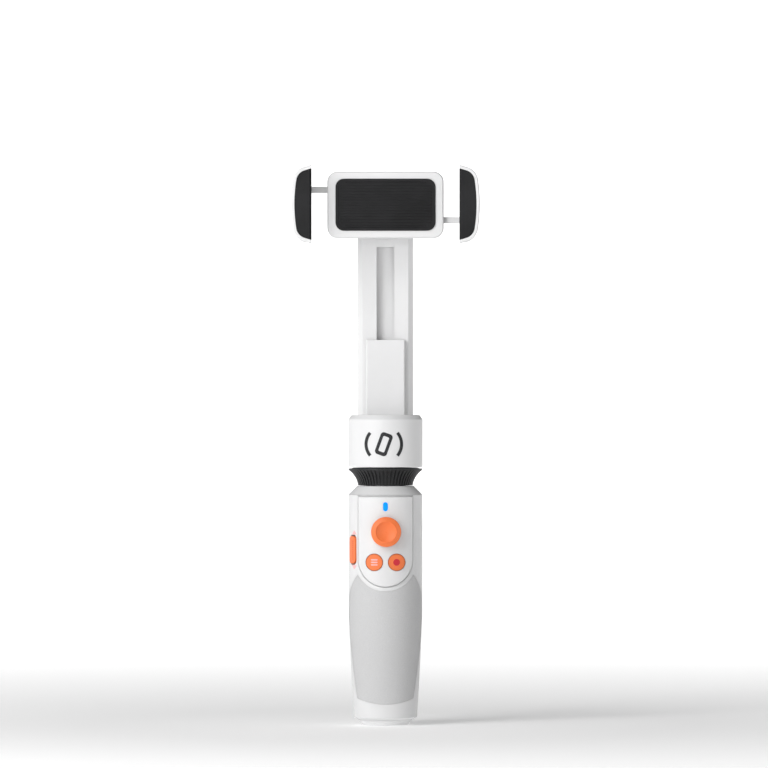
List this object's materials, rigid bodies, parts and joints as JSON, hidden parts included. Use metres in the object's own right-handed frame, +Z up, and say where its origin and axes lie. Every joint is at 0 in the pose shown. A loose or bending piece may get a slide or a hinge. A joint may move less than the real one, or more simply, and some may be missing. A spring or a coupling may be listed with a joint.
{
  "type": "gimbal stabilizer",
  "caption": "Hand-held gimbal stabilizer for a phone: round handle with keys and joystick, telescopic rod, turning head, sliding arm and spring jaws.",
  "frame": {"origin": "centre of the tripod socket's mouth, in the middle of the base", "axes": "+Z up the handle along the pan axis, keys and phone face -Y, +X to the right seen from the keys"},
  "size_m": [0.0906, 0.0506, 0.2687],
  "materials": {
    "white_shell": "satin",
    "grip_soft": "soft touch",
    "black_plastic": "matte",
    "black_rubber": "matte",
    "orange_plastic": "satin",
    "pale_mark": "printed",
    "red_mark": "printed",
    "grey_mark": "printed",
    "blue_lens": "clear",
    "brass": "turned",
    "steel": "brushed",
    "motor_steel": "coated",
    "circuit_board": "solder mask",
    "battery_wrap": "film",
    "nylon": "matte"
  },
  "bodies": {
    "handle": {"handle_front_shell": "white_shell", "handle_rear_shell": "white_shell", "top_cap": "white_shell", "base_cap": "white_shell", "tripod_insert": "brass", "base_screws": "steel", "shell_screws": "steel", "control_panel": "white_shell", "grip_pad": "grip_soft", "status_led_lens": "blue_lens", "rod_sleeve": "steel", "sleeve_bush": "nylon", "control_board": "circuit_board", "main_board": "circuit_board", "battery_cell": "battery_wrap", "usb_port": "steel", "joystick_module": "black_plastic", "tact_switches": "black_plastic", "rocker_pin": "steel"},
    "joystick_gimbal": {"joystick_yoke": "black_plastic"},
    "joystick": {"joystick_stick": "black_plastic", "joystick_cap": "orange_plastic"},
    "mode_key": {"mode_button": "orange_plastic", "mode_icon": "pale_mark"},
    "record_key": {"record_button": "orange_plastic", "record_dot": "red_mark"},
    "zoom_key": {"zoom_rocker": "orange_plastic"},
    "rod_stage_1": {"rod_tube_1": "steel", "rod_bush_1": "nylon"},
    "rod_stage_2": {"rod_tube_2": "steel", "rod_bush_2": "nylon"},
    "rod_stage_3": {"rod_tube_3": "steel", "rod_bush_3": "nylon"},
    "collar": {"rod_tube_4": "steel", "collar_grip": "black_plastic", "collar_disc": "black_plastic", "pan_stator": "motor_steel", "pan_bearings": "steel"},
    "pan_head": {"pan_housing": "white_shell", "pan_rotor": "motor_steel", "pan_shaft": "steel", "housing_emblem": "grey_mark", "arm_rail": "white_shell", "rail_screws": "steel"},
    "arm": {"arm_beam": "white_shell", "arm_cover": "white_shell", "roll_case": "white_shell", "roll_stator": "motor_steel", "roll_bearings": "steel"},
    "clamp": {"roll_rotor": "motor_steel", "clamp_body": "white_shell", "clamp_cover": "white_shell", "clamp_back_pad": "black_rubber", "guide_rods": "steel", "clamp_spring": "steel"},
    "jaw_pinion": {"pinion": "nylon"},
    "jaw_left": {"left_jaw": "white_shell", "left_jaw_pad": "black_rubber"},
    "jaw_right": {"right_jaw": "white_shell", "right_jaw_pad": "black_rubber"}
  },
  "joints": [
    {"name": "rod_extend", "type": "slide", "parent": "handle", "child": "rod_stage_1", "axis": [0, 0, 1], "range_m": [0, 0.065]},
    {"name": "rod_extend_2", "type": "slide", "parent": "rod_stage_1", "child": "rod_stage_2", "axis": [0, 0, 1], "range_m": [0, 0.065]},
    {"name": "rod_extend_3", "type": "slide", "parent": "rod_stage_2", "child": "rod_stage_3", "axis": [0, 0, 1], "range_m": [0, 0.065]},
    {"name": "rod_extend_4", "type": "slide", "parent": "rod_stage_3", "child": "collar", "axis": [0, 0, 1], "range_m": [0, 0.065]},
    {"name": "pan", "type": "hinge", "parent": "collar", "child": "pan_head", "pos_m": [0, 0, 0.136], "axis": [0, 0, 1], "range_deg": [-175, 175]},
    {"name": "arm_slide", "type": "slide", "parent": "pan_head", "child": "arm", "axis": [0, 0, 1], "range_m": [-0.042, 0]},
    {"name": "roll", "type": "hinge", "parent": "arm", "child": "clamp", "pos_m": [0, 0.01, 0.2498], "axis": [0, 1, 0], "range_deg": [-135, 135]},
    {"name": "jaws", "type": "slide", "parent": "clamp", "child": "jaw_left", "axis": [-1, 0, 0], "range_m": [-0.01, 0.006]},
    {"name": "jaw_right_slide", "type": "slide", "parent": "clamp", "child": "jaw_right", "axis": [1, 0, 0], "range_m": [-0.01, 0.006]},
    {"name": "pinion_spin", "type": "hinge", "parent": "clamp", "child": "jaw_pinion", "pos_m": [0, 0, 0.2498], "axis": [0, 1, 0], "range_deg": [-72, 120]},
    {"name": "joystick_up_down", "type": "hinge", "parent": "handle", "child": "joystick_gimbal", "pos_m": [0.0003, -0.0114, 0.093], "axis": [1, 0, 0], "range_deg": [-12, 12], "stiffness_Nm_per_rad": 0.02},
    {"name": "joystick_left_right", "type": "hinge", "parent": "joystick_gimbal", "child": "joystick", "pos_m": [0.0003, -0.0114, 0.093], "axis": [0, 0, 1], "range_deg": [-12, 12], "stiffness_Nm_per_rad": 0.02},
    {"name": "mode_press", "type": "slide", "parent": "handle", "child": "mode_key", "axis": [0, 1, 0], "range_m": [0, 0.0005], "stiffness_N_per_m": 800},
    {"name": "record_press", "type": "slide", "parent": "handle", "child": "record_key", "axis": [0, 1, 0], "range_m": [0, 0.0005], "stiffness_N_per_m": 800},
    {"name": "zoom_rock", "type": "hinge", "parent": "handle", "child": "zoom_key", "pos_m": [-0.01195, -0.00649, 0.0842], "axis": [0.4772, -0.8788, 0], "range_deg": [-5, 5], "stiffness_Nm_per_rad": 0.05}
  ],
  "couplings": [
    {"joint": "rod_extend_2", "follows": "rod_extend", "ratio": 1},
    {"joint": "rod_extend_3", "follows": "rod_extend", "ratio": 1},
    {"joint": "rod_extend_4", "follows": "rod_extend", "ratio": 1},
    {"joint": "jaw_right_slide", "follows": "jaws", "ratio": 1},
    {"joint": "pinion_spin", "follows": "jaws", "rad_per_m": -208.33}
  ]
}
